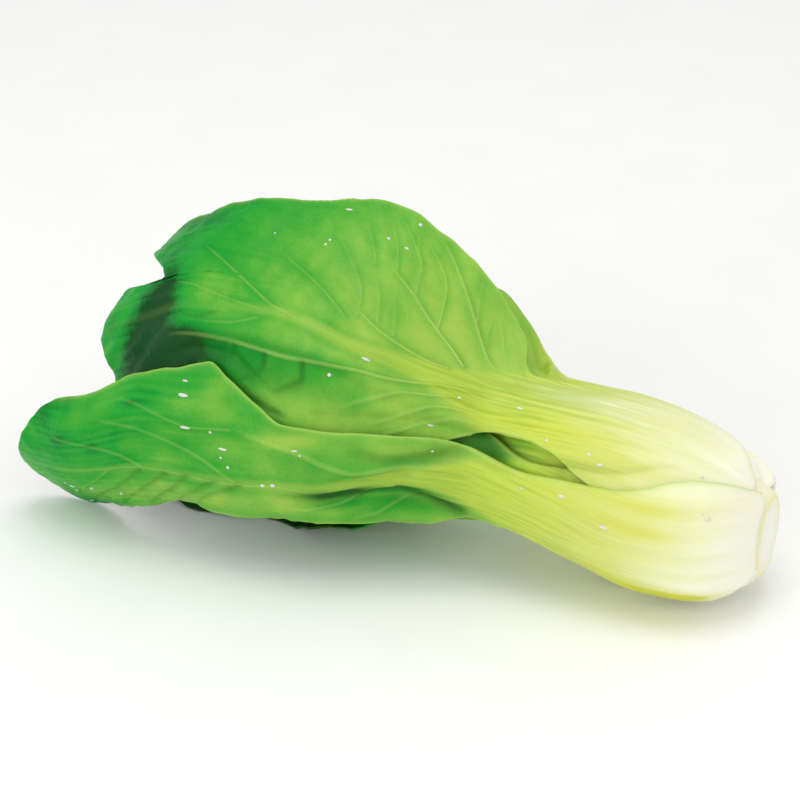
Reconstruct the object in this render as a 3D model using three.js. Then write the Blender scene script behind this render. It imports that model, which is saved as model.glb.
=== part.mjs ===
// A head of green-stem bok choy lying on its side. Millimetres, +Z up.
// The head's axis runs along X: the cut stem is at +X and the leaf tips are at -X.
// Every leaf is one closed body: a fleshy stalk that narrows to a neck and widens into a thin blade.
// The leaves are shells round the head's axis. Each is worked out station by station along the axis,
// from the outermost leaf to the heart, and is held inside the leaves that lie outside it.
import * as THREE from 'three';

// ---- driving sizes ----
const headLength = 219; // cut face to the farthest tip
const baseX = 109.5; // X of the cut face, which centres the head on X = 0
const axisY = 1.1; // Y of the head's axis, which centres the head on Y = 0
const bladeThickness = 1.0;
// Under a leaf that covers it, a leaf keeps a gap. Past that leaf's edge it swells: from start, by slope.
const outerFit = { gap: 0.65, start: 4, slope: 1.6 };
const innerFit = { gap: 1.2, start: 5, slope: 0.8 };
const edgeReach = 5; // how far along a leaf its edge is looked at, each way
const outerCount = 5; // leaves seen from outside
const coverBlend = 1; // rounds the corner where one cover passes over to the next
const heldBlend = 2.5; // rounds the corner where a leaf comes out from under its cover
const neckStart = 78; // stations where the stalk turns into the blade
const neckLength = 22;
const tipHalfWidth = 1.6; // half width of the blunt last row of a leaf
const fullStalk = 7; // thickness of an outer stalk at its thickest
const waveStart = 2.5; // power that keeps the waves near a blade's edges
const foldFade = 18; // length over which a fold rises and dies away
const innerNeck = 66; // station of the narrowest place of an inner leaf
const stemGap = 0.5; // least room between the stem and the leaf bases
const thinnest = 0.8;

// Curves are knots [station, value]; a station is the distance from the cut face.
const axisHeight = [[0, 22.5], [8, 25.6], [20, 27.3], [34, 28], [49, 30], [64, 32.3], [79, 34],
  [95, 36.5], [130, 41], [180, 43], [225, 41]];
const stemRadius = [[0, 10.3], [2, 11.1], [4, 11.6], [6.5, 12.8], [9.5, 13.4], [13, 11], [20, 7.8],
  [29, 5.6], [36, 3]];
const stemEnd = 36;
const bulbRadius = [[0, 10.8], [2, 14.8], [5, 18.6], [9, 22.3], [14, 25.3], [22, 27.2], [34, 27.7],
  [42, 27], [49, 25.9], [64, 24.6], [79, 24]];
const stalkThickness = [[0, 1.5], [8, 1.9], [14, 4.5], [25, fullStalk], [50, 6.5], [75, 5.2], [90, 4.6],
  [110, 3.6], [140, 2.6], [170, 1.8], [headLength, 1.1]];
const ribShare = [[0, 1], [70, 1], [90, 0.5], [110, 0.17], [140, 0.1], [170, 0.07], [headLength, 0.05]];

// ---- small maths ----
function clamp(value, low, high) {
  return Math.min(Math.max(value, low), high);
}

function smooth(t) {
  const q = clamp(t, 0, 1);
  return q * q * (3 - 2 * q);
}

// A smooth curve through the knots that never overshoots them.
function curve(knots, at) {
  const last = knots.length - 1;
  const h = clamp(at, knots[0][0], knots[last][0]);
  let i = 0;
  while (i < last - 1 && h > knots[i + 1][0]) i += 1;
  const slope = (n) => (knots[n + 1][1] - knots[n][1]) / (knots[n + 1][0] - knots[n][0]);
  const tangent = (n) => {
    if (n === 0) return slope(0);
    if (n === last) return slope(last - 1);
    const before = slope(n - 1);
    const after = slope(n);
    return before * after <= 0 ? 0 : (2 * before * after) / (before + after);
  };
  const width = knots[i + 1][0] - knots[i][0];
  const t = (h - knots[i][0]) / width;
  const u = 1 - t;
  return knots[i][1] * (1 + 2 * t) * u * u + tangent(i) * width * t * u * u
    + knots[i + 1][1] * t * t * (3 - 2 * t) - tangent(i + 1) * width * t * t * u;
}

function linear(knots, at) {
  const last = knots.length - 1;
  const h = clamp(at, knots[0][0], knots[last][0]);
  let i = 0;
  while (i < last - 1 && h > knots[i + 1][0]) i += 1;
  const t = (h - knots[i][0]) / (knots[i + 1][0] - knots[i][0]);
  return knots[i][1] + (knots[i + 1][1] - knots[i][1]) * t;
}

function smoothMin(a, b, reach) {
  const q = clamp(0.5 + (0.5 * (b - a)) / reach, 0, 1);
  return b * (1 - q) + a * q - reach * q * (1 - q);
}

// ---- the leaves, outermost first ----
// angle: direction of the midrib round the axis, in degrees: 0 up, 90 front (-Y), 180 down, 270 back.
// radius: distance of the midrib's outer face from the axis.
// upper, lower: half widths on the side of smaller and of larger angle.
// bendUpper, bendLower: 1 curves the half round the axis, 0 leaves it flat.
// wave: [height, length along the edge, phase]. folds: [from, to, place across, width, height].
const outerLeaves = [
  {
    name: 'leaf_front', start: 2, tip: 219, tipRound: 22, fleshy: 1, cells: 12,
    angle: [[0, 98], [20, 103], [40, 104], [60, 101], [80, 96], [95, 94], [119, 98], [142, 103],
      [171, 109], [195, 121], [210, 127], [223, 131]],
    radius: [...bulbRadius, [95, 30], [107, 36], [119, 40.5], [142, 44.5], [171, 44.5], [198, 44],
      [210, 42], [223, 38]],
    upper: [[2, 21.8], [5, 22.8], [9, 24.7], [12, 25.8], [17, 26.5], [22, 25.7], [30, 22.5], [41, 19],
      [52, 15.8], [70, 11.6], [83, 13], [97, 14.5], [112, 15], [125, 18], [136, 23.5], [147, 31],
      [154, 36], [163, 34], [176, 31], [188, 30], [200, 29], [223, 22]],
    lower: [[2, 11], [5, 14], [17, 24.5], [30, 23], [41, 20.5], [52, 17], [62, 12.5], [70, 10.5],
      [80, 10.8], [90, 15.5], [98, 19], [108, 17.5], [118, 15.5], [130, 16.5], [143, 15.5], [162, 14.5],
      [174, 17], [184, 17.5], [192, 21], [200, 24], [210, 25], [223, 20]],
    bendUpper: [[0, 1], [80, 1], [110, 0.95], [150, 1.1], [180, 1.3], [205, 1.5], [223, 1.5]],
    bendLower: [[0, 1], [110, 1.1], [150, 1.05], [175, 0.8], [198, 0.5], [223, 0.5]],
    wave: [1.3, 31, 0.6],
    folds: [[84, 124, -8, 6, -3], [140, 215, 22, 8, 2]],
  },
  {
    name: 'leaf_lower_back', start: 2, tip: 214, tipRound: 26, fleshy: 1, cells: 12,
    angle: [[0, 250], [40, 249], [80, 251], [110, 253], [150, 250], [214, 240]],
    radius: [...bulbRadius, [95, 28], [107, 34], [120, 39], [145, 43.5], [175, 42], [198, 38], [214, 31]],
    upper: [[2, 11], [5, 14], [17, 24], [30, 22], [50, 18], [70, 13], [80, 14], [88, 20], [97, 30],
      [110, 38], [130, 44], [152, 43], [172, 39], [188, 36], [214, 28]],
    lower: [[2, 7.5], [5, 10.5], [17, 16], [30, 20], [50, 18], [70, 13], [80, 13], [90, 14.5], [100, 20],
      [112, 29], [130, 40], [152, 44], [172, 41], [188, 37], [214, 28]],
    bendUpper: [[0, 1], [214, 1]],
    bendLower: [[0, 1], [80, 1], [110, 0.95], [214, 0.95]],
    wave: [2.2, 34, 1.9],
    folds: [[100, 200, 14, 6, 1.6], [95, 170, -13, 7, -2.2]],
  },
  {
    name: 'leaf_upper_front', start: 4, tip: 199, tipRound: 12, fleshy: 1, cells: 12,
    angle: [[0, 22], [30, 26], [60, 29], [85, 33], [110, 37], [140, 36], [165, 37], [185, 44], [199, 52]],
    radius: [[2, 14], [4, 16.4], [6, 17.9], [9, 19.4], [14, 21.2], [22, 23.8], [34, 26.6], [42, 27.2],
      [49, 26.9], [64, 25.4], [79, 24.6], [95, 29.5], [114, 38.5], [132, 43.3], [150, 43.5], [165, 41.5],
      [178, 36], [190, 27], [199, 20]],
    upper: [[4, 3.5], [6, 6.5], [9.7, 12.5], [13, 18], [20, 22], [32, 22.5], [50, 19], [62, 14],
      [70, 12.5], [72.5, 14.5], [76, 23.5], [80, 28.5], [86, 34.2], [95, 40.5], [106, 46], [118, 49],
      [133, 45], [146, 41], [160, 38], [172, 36.5], [182, 34.5], [187, 31], [191, 14], [199, 10]],
    lower: [[4, 12], [7, 15], [17, 24], [32, 23], [50, 16.5], [58, 12.5], [70, 10.3], [79, 10.5],
      [88, 16], [98, 28], [115, 38], [135, 41], [160, 38], [175, 32], [188, 24], [199, 16]],
    bendUpper: [[0, 1], [58, 1], [70, 0.5], [80, 0.1], [92, 0.05], [106, 0.15], [125, 0.3], [150, 0.33],
      [175, 0.5], [199, 0.8]],
    bendLower: [[0, 1], [110, 1], [199, 1.1]],
    wave: [0.9, 37, 0],
    folds: [[84, 176, -10, 6, 2.4], [90, 176, -22, 8, -3], [95, 170, 20, 9, -1.4]],
  },
  {
    name: 'leaf_bottom', start: 4, tip: 192, tipRound: 26, fleshy: 0.95, cells: 10,
    angle: [[0, 178], [40, 177], [90, 176], [130, 178], [192, 184]],
    radius: [[2, 14], [5, 18.4], [9, 22.2], [14, 25.3], [22, 28.2], [34, 29.4], [49, 27.2], [64, 23.2],
      [79, 21.8], [95, 24], [110, 29.5], [122, 35.5], [135, 41.5], [145, 43], [160, 44], [192, 38]],
    upper: [[4, 10], [9, 16], [17, 22], [32, 22], [50, 15], [62, 8.5], [72, 6.5], [84, 7], [92, 10],
      [98, 14], [110, 16], [130, 17], [138, 11], [150, 9.5], [160, 12], [175, 15], [192, 14]],
    lower: [[4, 10], [9, 16], [17, 22], [32, 22], [50, 17.5], [70, 12.5], [78, 15], [84, 21], [94, 29],
      [110, 35], [135, 38], [158, 36], [174, 33], [192, 26]],
    bendUpper: [[0, 1], [80, 0.8], [110, 0.6], [192, 0.6]],
    bendLower: [[0, 1], [80, 0.8], [110, 0.6], [192, 0.6]],
    wave: [1.8, 30, 2.4],
    folds: [],
  },
  {
    name: 'leaf_upper_back', start: 2, tip: 190, tipRound: 28, fleshy: 0.92, cells: 10,
    angle: [[0, 322], [40, 321], [80, 322], [110, 324], [150, 322], [190, 314]],
    radius: [[2, 15.4], [4, 17.3], [7.5, 18.8], [14, 20.8], [22, 23.2], [34, 25.6], [49, 25.6],
      [64, 24.4], [79, 24], [88, 28], [98, 35], [112, 41], [130, 43], [155, 41.5], [175, 37], [190, 30]],
    upper: [[2, 6.5], [6, 13], [17, 19], [32, 20], [50, 17], [64, 13.5], [69, 18], [74, 26], [80, 33],
      [88, 39], [100, 43], [120, 44], [140, 41], [160, 36], [190, 26]],
    lower: [[2, 8.5], [6, 12], [17, 20], [32, 21], [50, 18], [66, 13.5], [72, 17], [78, 25], [88, 33],
      [100, 39], [120, 42], [140, 40], [160, 36], [190, 26]],
    bendUpper: [[0, 1], [60, 0.9], [85, 0.5], [110, 0.4], [190, 0.8]],
    bendLower: [[0, 1], [80, 1], [110, 0.9], [190, 0.9]],
    wave: [2, 33, 0.9],
    folds: [[66, 110, -8, 11, 19], [100, 165, -14, 6, 1.8], [90, 160, 14, 7, -1.8]],
  },
];

// An inner leaf is a smaller copy of one pattern: rank counts from the outside.
function innerLeaf(name, rank, direction, tip, bladeRadius, bladeHalf, fleshy, cells, phase) {
  const start = rank < 9 ? 20 : 29;
  const size = tip / 184;
  const stalkHalf = 18 - 1.2 * (rank - 6);
  const neckRadius = 20;
  const spread = bladeRadius - neckRadius;
  const blade = (share) => innerNeck + share * size;
  const halfWidth = [[start, 0.85 * stalkHalf], [36, stalkHalf], [50, 0.88 * stalkHalf],
    [innerNeck, 0.7 * stalkHalf], [blade(10), 0.85 * stalkHalf], [blade(20), 0.62 * bladeHalf],
    [blade(32), 0.85 * bladeHalf], [blade(50), bladeHalf], [blade(72), 0.96 * bladeHalf],
    [blade(95), 0.82 * bladeHalf], [tip, 0.6 * bladeHalf]];
  return {
    name, start, tip, fleshy, cells,
    tipRound: 28 * size,
    angle: [[0, direction + 2], [60, direction], [110, direction - 3], [tip, direction + 3]],
    radius: [[start, 22], [40, 23], [60, 21], [80, neckRadius],
      [80 + 15 * size, neckRadius + 0.3 * spread], [80 + 30 * size, neckRadius + 0.7 * spread],
      [80 + 48 * size, bladeRadius], [80 + 75 * size, bladeRadius], [tip, 0.78 * bladeRadius]],
    upper: halfWidth,
    lower: halfWidth,
    bendUpper: [[0, 1], [tip, 1]],
    bendLower: [[0, 1], [tip, 1]],
    wave: [2, 28 * size, phase],
    folds: [],
  };
}

const leaves = [
  ...outerLeaves,
  innerLeaf('leaf_inner_front', 6, 104, 184, 33, 35, 0.8, 8, 2),
  innerLeaf('leaf_inner_lower_back', 7, 249, 178, 32, 33, 0.72, 8, 0.5),
  innerLeaf('leaf_inner_upper_front', 8, 34, 166, 30, 30, 0.64, 8, 1.5),
  innerLeaf('leaf_inner_bottom', 9, 178, 156, 27, 27, 0.56, 6, 3),
  innerLeaf('leaf_inner_upper_back', 10, 322, 146, 25, 25, 0.5, 6, 4),
  innerLeaf('leaf_heart_front', 11, 100, 128, 17, 18, 0.42, 6, 1),
  innerLeaf('leaf_heart_back', 12, 242, 118, 13, 13, 0.38, 6, 2),
];

// ---- one leaf at one station ----
function leafThickness(leaf, h, across, halfWidth) {
  const thick = linear(stalkThickness, h) * leaf.fleshy;
  const edge = linear([[0, 1.6], [70, 1.6], [85, 1.2], [100, bladeThickness]], h);
  const q = Math.abs(across) / (linear(ribShare, h) * Math.max(halfWidth, 8));
  const stalk = Math.pow(Math.max(1 - q * q, 0), 1.2);
  const rib = Math.exp(-q * q * 1.2);
  const share = smooth((h - 62) / 20);
  return edge + Math.max(thick - edge, 0) * (stalk * (1 - share) + rib * share);
}

const knownShapes = new Map();

// The form a leaf would have with nothing round it: points across its outer face.
function freeShape(rank, h) {
  const key = rank + ':' + h.toFixed(4);
  if (knownShapes.has(key)) return knownShapes.get(key);
  const leaf = leaves[rank];
  const middle = THREE.MathUtils.degToRad(curve(leaf.angle, h));
  const radius = curve(leaf.radius, h);
  const toTip = clamp((h - leaf.tip + leaf.tipRound) / leaf.tipRound, 0, 1);
  const rounding = Math.sqrt(1 - toTip * toTip);
  const inBlade = smooth((h - neckStart) / neckLength);
  const [waveHeight, waveLength, wavePhase] = leaf.wave;
  const points = [];
  for (let i = 0; i <= leaf.cells; i += 1) {
    const v = (2 * i) / leaf.cells - 1;
    const side = v > 0 ? leaf.upper : leaf.lower;
    const bend = curve(v > 0 ? leaf.bendUpper : leaf.bendLower, h) / Math.max(radius, 14);
    const halfWidth = Math.max(curve(side, h) * rounding, tipHalfWidth);
    const across = v * halfWidth;
    const phase = wavePhase + (v > 0 ? 0 : 2);
    let out = (Math.cos(bend * across) - 1) / bend;
    const ripple = Math.sin((2 * Math.PI * h) / waveLength + phase);
    out += waveHeight * inBlade * Math.pow(Math.abs(v), waveStart) * ripple;
    for (const [from, to, place, width, height] of leaf.folds) {
      const fade = smooth(Math.min(h - from, to - h) / foldFade);
      out += height * fade * Math.exp(-(((across - place) / width) ** 2));
    }
    const sideways = Math.sin(bend * across) / bend;
    const y = -Math.sin(middle) * (radius + out) + Math.cos(middle) * sideways;
    const z = Math.cos(middle) * (radius + out) + Math.sin(middle) * sideways;
    const angle = nearAngle(Math.atan2(-y, z), middle);
    points.push({ angle, radius: Math.hypot(y, z), across, halfWidth });
  }
  knownShapes.set(key, points);
  return points;
}

// The angles that a leaf spans near a station, as its edges slant between two rows of the mesh.
function span(rank, h) {
  const leaf = leaves[rank];
  const nearby = [-edgeReach, 0, edgeReach].map((step) => {
    return freeShape(rank, clamp(h + step, leaf.start, leaf.tip));
  });
  const angles = nearby.flatMap((points) => [points[0].angle, points[points.length - 1].angle]);
  return [Math.min(...angles), Math.max(...angles)];
}

// How far out a leaf of this rank may reach at this angle, inside the leaves that cover it.
function ceiling(rank, h, angle) {
  const fit = rank < outerCount ? outerFit : innerFit;
  let limit = 1000;
  for (let outer = 0; outer < rank; outer += 1) {
    const [low, high] = span(outer, h);
    const turned = nearAngle(angle, (low + high) / 2);
    const radius = linear(section(outer, h).innerKnots, turned);
    const past = Math.max(low - turned, turned - high, 0) * radius;
    const away = Math.hypot(past, Math.max(0, h - leaves[outer].tip));
    limit = smoothMin(limit, radius - fit.gap + fit.slope * Math.max(0, away - fit.start), coverBlend);
  }
  return limit;
}

function floorLimit(h, angle) {
  const down = -Math.cos(angle);
  return down > 0.05 ? curve(axisHeight, h) / down : 1000;
}

const knownSections = new Map();

// The outer and inner faces of a leaf at a station, where it lies in the head.
function section(rank, station) {
  const leaf = leaves[rank];
  const h = clamp(station, leaf.start, leaf.tip);
  const key = rank + ':' + h.toFixed(4);
  if (knownSections.has(key)) return knownSections.get(key);
  const free = freeShape(rank, h);
  const outer = free.map((p) => {
    const held = smoothMin(p.radius, ceiling(rank, h, p.angle), heldBlend);
    return polar(p.angle, Math.min(held, floorLimit(h, p.angle)));
  });
  const stem = h < stemEnd ? curve(stemRadius, h) : 0;
  const inner = outer.map((p, i) => {
    const before = outer[Math.max(i - 1, 0)];
    const after = outer[Math.min(i + 1, leaf.cells)];
    const dy = after.y - before.y;
    const dz = after.z - before.z;
    const length = Math.hypot(dy, dz);
    const room = Math.max(p.radius - stem - stemGap, thinnest);
    const thick = Math.min(leafThickness(leaf, h, free[i].across, free[i].halfWidth), room);
    const y = p.y + (dz / length) * thick;
    const z = p.z - (dy / length) * thick;
    return polar(nearAngle(Math.atan2(-y, z), p.angle), Math.hypot(y, z));
  });
  const innerKnots = inner.map((p) => [p.angle, p.radius]).sort((a, b) => a[0] - b[0]);
  const result = { outer, inner, innerKnots };
  knownSections.set(key, result);
  return result;
}

function nearAngle(angle, wanted) {
  return angle + Math.round((wanted - angle) / (2 * Math.PI)) * 2 * Math.PI;
}

function polar(angle, radius) {
  return { angle, radius, y: -Math.sin(angle) * radius, z: Math.cos(angle) * radius };
}

// ---- meshes ----
const stations = [4, 8, 13, 20, 29, 39, 50, 60, 67, 72, 77, 82, 88, 95, 103, 112, 122, 132, 142, 152, 162, 172,
  182, 192, 202];
const tipSteps = [0.4, 0.7, 0.9, 0.98, 1];

function leafRows(leaf) {
  const roundStart = leaf.tip - leaf.tipRound;
  const rows = stations.filter((h) => h > leaf.start + 1 && h < roundStart - 2);
  return [leaf.start, ...rows, roundStart, ...tipSteps.map((q) => roundStart + q * leaf.tipRound)];
}

function leafGeometry(rank) {
  const leaf = leaves[rank];
  const rows = leafRows(leaf).map((h) => ({ h, ...section(rank, h) }));
  const columns = leaf.cells + 1;
  const points = [];
  for (const face of ['outer', 'inner']) {
    for (const row of rows) {
      for (const p of row[face]) points.push(baseX - row.h, axisY + p.y, curve(axisHeight, row.h) + p.z);
    }
  }
  const outer = (r, c) => r * columns + c;
  const inner = (r, c) => (rows.length + r) * columns + c;
  const triangles = [];
  const quad = (a, b, c, d) => triangles.push(a, c, b, a, d, c);
  for (let r = 0; r < rows.length - 1; r += 1) {
    for (let c = 0; c < leaf.cells; c += 1) {
      quad(outer(r, c), outer(r + 1, c), outer(r + 1, c + 1), outer(r, c + 1));
      triangles.push(inner(r, c), inner(r + 1, c), inner(r + 1, c + 1));
      triangles.push(inner(r, c), inner(r + 1, c + 1), inner(r, c + 1));
    }
    quad(outer(r, 0), inner(r, 0), inner(r + 1, 0), outer(r + 1, 0));
    quad(outer(r, leaf.cells), outer(r + 1, leaf.cells), inner(r + 1, leaf.cells), inner(r, leaf.cells));
  }
  const tipRow = rows.length - 1;
  for (let c = 0; c < leaf.cells; c += 1) {
    quad(outer(0, c), outer(0, c + 1), inner(0, c + 1), inner(0, c));
    quad(outer(tipRow, c), inner(tipRow, c), inner(tipRow, c + 1), outer(tipRow, c + 1));
  }
  return closedGeometry(points, triangles);
}

function closedGeometry(points, triangles) {
  const geometry = new THREE.BufferGeometry();
  geometry.setAttribute('position', new THREE.Float32BufferAttribute(points, 3));
  geometry.setIndex(triangles);
  geometry.computeVertexNormals();
  return geometry;
}

// The short stem: a turned plug with the cut face outside, tapering to a point between the leaf bases.
function stemGeometry() {
  const sides = 20;
  const rows = [0, 2, 4, 6.5, 9.5, 13, 20, 29, stemEnd];
  const points = [];
  for (const h of rows) {
    const radius = curve(stemRadius, h);
    for (let i = 0; i < sides; i += 1) {
      const angle = (2 * Math.PI * i) / sides;
      const y = axisY - Math.sin(angle) * radius;
      points.push(baseX - h, y, curve(axisHeight, h) + Math.cos(angle) * radius);
    }
  }
  const faceCentre = points.length / 3;
  points.push(baseX, axisY, curve(axisHeight, 0));
  points.push(baseX - stemEnd, axisY, curve(axisHeight, stemEnd));
  const triangles = [];
  for (let i = 0; i < sides; i += 1) {
    const next = (i + 1) % sides;
    for (let r = 0; r < rows.length - 1; r += 1) {
      const a = r * sides + i;
      const b = r * sides + next;
      triangles.push(a, b + sides, b, a, a + sides, b + sides);
    }
    const lastRow = (rows.length - 1) * sides;
    triangles.push(faceCentre, i, next);
    triangles.push(faceCentre + 1, lastRow + next, lastRow + i);
  }
  return closedGeometry(points, triangles);
}

// ---- the head ----
const leafColours = { outer: 0x6fb544, inner: 0x8cc456, heart: 0xc9dc6e };
const stemColour = 0xeef0c8;

function leafKind(name) {
  if (name.startsWith('leaf_heart')) return 'heart';
  return name.startsWith('leaf_inner') ? 'inner' : 'outer';
}

function addMesh(group, name, geometry, color) {
  const material = new THREE.MeshStandardMaterial({ color, roughness: 0.42, metalness: 0 });
  const mesh = new THREE.Mesh(geometry, material);
  mesh.name = name;
  group.add(mesh);
}

const head = new THREE.Group();
addMesh(head, 'stem_base', stemGeometry(), stemColour);
leaves.forEach((leaf, rank) => {
  addMesh(head, leaf.name, leafGeometry(rank), leafColours[leafKind(leaf.name)]);
});

export default head;
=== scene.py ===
import math

import bpy
import numpy as np
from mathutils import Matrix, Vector


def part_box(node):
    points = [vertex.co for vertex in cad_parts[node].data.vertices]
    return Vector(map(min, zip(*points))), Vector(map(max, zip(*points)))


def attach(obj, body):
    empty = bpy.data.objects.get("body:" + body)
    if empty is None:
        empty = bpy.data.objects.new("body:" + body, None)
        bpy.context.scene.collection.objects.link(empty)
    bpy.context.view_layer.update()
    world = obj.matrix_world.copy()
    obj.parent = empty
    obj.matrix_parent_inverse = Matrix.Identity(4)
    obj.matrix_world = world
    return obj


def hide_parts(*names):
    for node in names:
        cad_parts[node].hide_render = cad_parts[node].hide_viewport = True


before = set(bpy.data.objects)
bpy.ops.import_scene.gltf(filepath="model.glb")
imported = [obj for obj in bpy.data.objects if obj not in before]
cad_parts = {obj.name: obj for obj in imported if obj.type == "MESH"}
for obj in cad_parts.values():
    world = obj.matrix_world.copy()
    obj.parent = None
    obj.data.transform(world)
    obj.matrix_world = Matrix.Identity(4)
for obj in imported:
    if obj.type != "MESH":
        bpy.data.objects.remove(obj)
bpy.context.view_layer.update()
print("frame loaded:", len(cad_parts), "nodes")

# A head of green-stem bok choy on its side. Leaf sizes are in millimetres, and placed in metres at the end.
# A station is the distance from the cut face towards the leaf tips. Across is the distance from a leaf's
# middle line, measured over its surface, and v is the same from -1 to 1, edge to edge.
mm = 0.001
stemLow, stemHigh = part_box("stem_base")
head = {
    "baseX": stemHigh.x / mm,
    "axisY": (stemLow.y + stemHigh.y) / 2 / mm,
    "axisHeight": [(0, 22.5), (8, 25.6), (20, 27.3), (34, 28), (49, 30), (64, 32.3), (79, 34), (95, 36.5),
                   (130, 41), (180, 43), (225, 41)],
    "stemRadius": [(0, 10.3), (2, 11.1), (4, 11.6), (6.5, 12.8), (9.5, 13.4), (13, 11), (20, 7.8),
                   (29, 5.6), (36, 3)],
    "bulb": [(0, 10.8), (2, 14.8), (5, 18.6), (9, 22.3), (14, 25.3), (22, 27.2), (34, 27.7), (42, 27),
             (49, 25.9), (64, 24.6), (79, 24)],
    "neckStart": 78,
    "neckLength": 22,
    "innerNeck": 66,
    "stemEnd": 36,
    "stemGap": 0.5,
    "thinnest": 0.8,
}
flesh = {
    "stalk": [(0, 1.5), (8, 1.9), (14, 4.5), (25, 7), (50, 6.5), (75, 5.2), (90, 4.6), (110, 3.6),
              (140, 2.6), (170, 1.8), (219, 1.1)],
    "ribShare": [(0, 1), (70, 1), (90, 0.5), (110, 0.17), (140, 0.1), (170, 0.07), (219, 0.05)],
    "edge": [(0, 1.6), (70, 1.6), (85, 1.2), (100, 1.0)],
    "fineEdge": [(0, 1.5), (70, 1.5), (85, 0.9), (100, 0.62), (219, 0.55)],
}
fit = {
    "outer": {"gap": 0.65, "start": 4, "slope": 1.6},
    "inner": {"gap": 1.2, "start": 5, "slope": 0.8},
    "edgeReach": 5,
    "coverBlend": 1,
    "heldBlend": 2.5,
    "angleSteps": 360,
    "columns": 61,
}


def smooth(t):
    q = np.clip(t, 0, 1)
    return q * q * (3 - 2 * q)


def ramp(h, start, length):
    return smooth((h - start) / length)


def curveAt(knots, at):
    # a smooth curve through the knots that never swings past them
    x, y = np.array(knots, float).T
    slope = np.diff(y) / np.diff(x)
    tangent = np.zeros(len(x))
    tangent[0], tangent[-1] = slope[0], slope[-1]
    product = slope[:-1] * slope[1:]
    total = slope[:-1] + slope[1:]
    tangent[1:-1] = np.where(product > 0, 2 * product / np.where(total == 0, 1, total), 0)
    h = np.clip(at, x[0], x[-1])
    i = np.clip(np.searchsorted(x, h) - 1, 0, len(x) - 2)
    width = x[i + 1] - x[i]
    t = (h - x[i]) / width
    u = 1 - t
    return (y[i] * (1 + 2 * t) * u * u + tangent[i] * width * t * u * u
            + y[i + 1] * t * t * (3 - 2 * t) - tangent[i + 1] * width * t * t * u)


def lineAt(knots, at):
    x, y = np.array(knots, float).T
    return np.interp(at, x, y)


def smoothMin(a, b, reach):
    q = np.clip(0.5 + 0.5 * (b - a) / reach, 0, 1)
    return b * (1 - q) + a * q - reach * q * (1 - q)


def softNoise(x, y, size, seed):
    # gentle bumps about size apart, between -1 and 1
    draw = np.random.default_rng(seed)
    total = np.zeros(np.shape(x))
    waves = 8
    for _ in range(waves):
        turn = draw.uniform(0, math.pi)
        pace = 2 * math.pi / (size * draw.uniform(0.8, 1.7))
        start = draw.uniform(0, 2 * math.pi)
        total = total + np.sin(pace * (x * math.cos(turn) + y * math.sin(turn)) + start)
    return total / math.sqrt(waves) / 1.5


def lineDistance(h, across, line):
    near = np.full(h.shape, 1000.0)
    along = np.zeros(h.shape)
    pieces = len(line) - 1
    for i, ((h0, a0), (h1, a1)) in enumerate(zip(line, line[1:])):
        dh, da = h1 - h0, a1 - a0
        t = np.clip(((h - h0) * dh + (across - a0) * da) / (dh * dh + da * da), 0, 1)
        d = np.hypot(h - h0 - t * dh, across - a0 - t * da)
        closer = d < near
        near = np.where(closer, d, near)
        along = np.where(closer, (i + t) / pieces, along)
    return near, along


def swapKnots(knots, low, high, new):
    # the same knots with others between two stations
    return [k for k in knots if k[0] < low] + new + [k for k in knots if k[0] > high]


def rounded(line, steps=5):
    # a smooth line through the given points
    points = np.array(line, float)
    if len(points) < 3:
        return line
    gaps = np.hypot(*np.diff(points, axis=0).T)
    at = np.concatenate([[0], np.cumsum(gaps)])
    fine = np.linspace(0, at[-1], steps * (len(points) - 1) + 1)
    return list(zip(curveAt(list(zip(at, points[:, 0])), fine), curveAt(list(zip(at, points[:, 1])), fine)))


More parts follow.
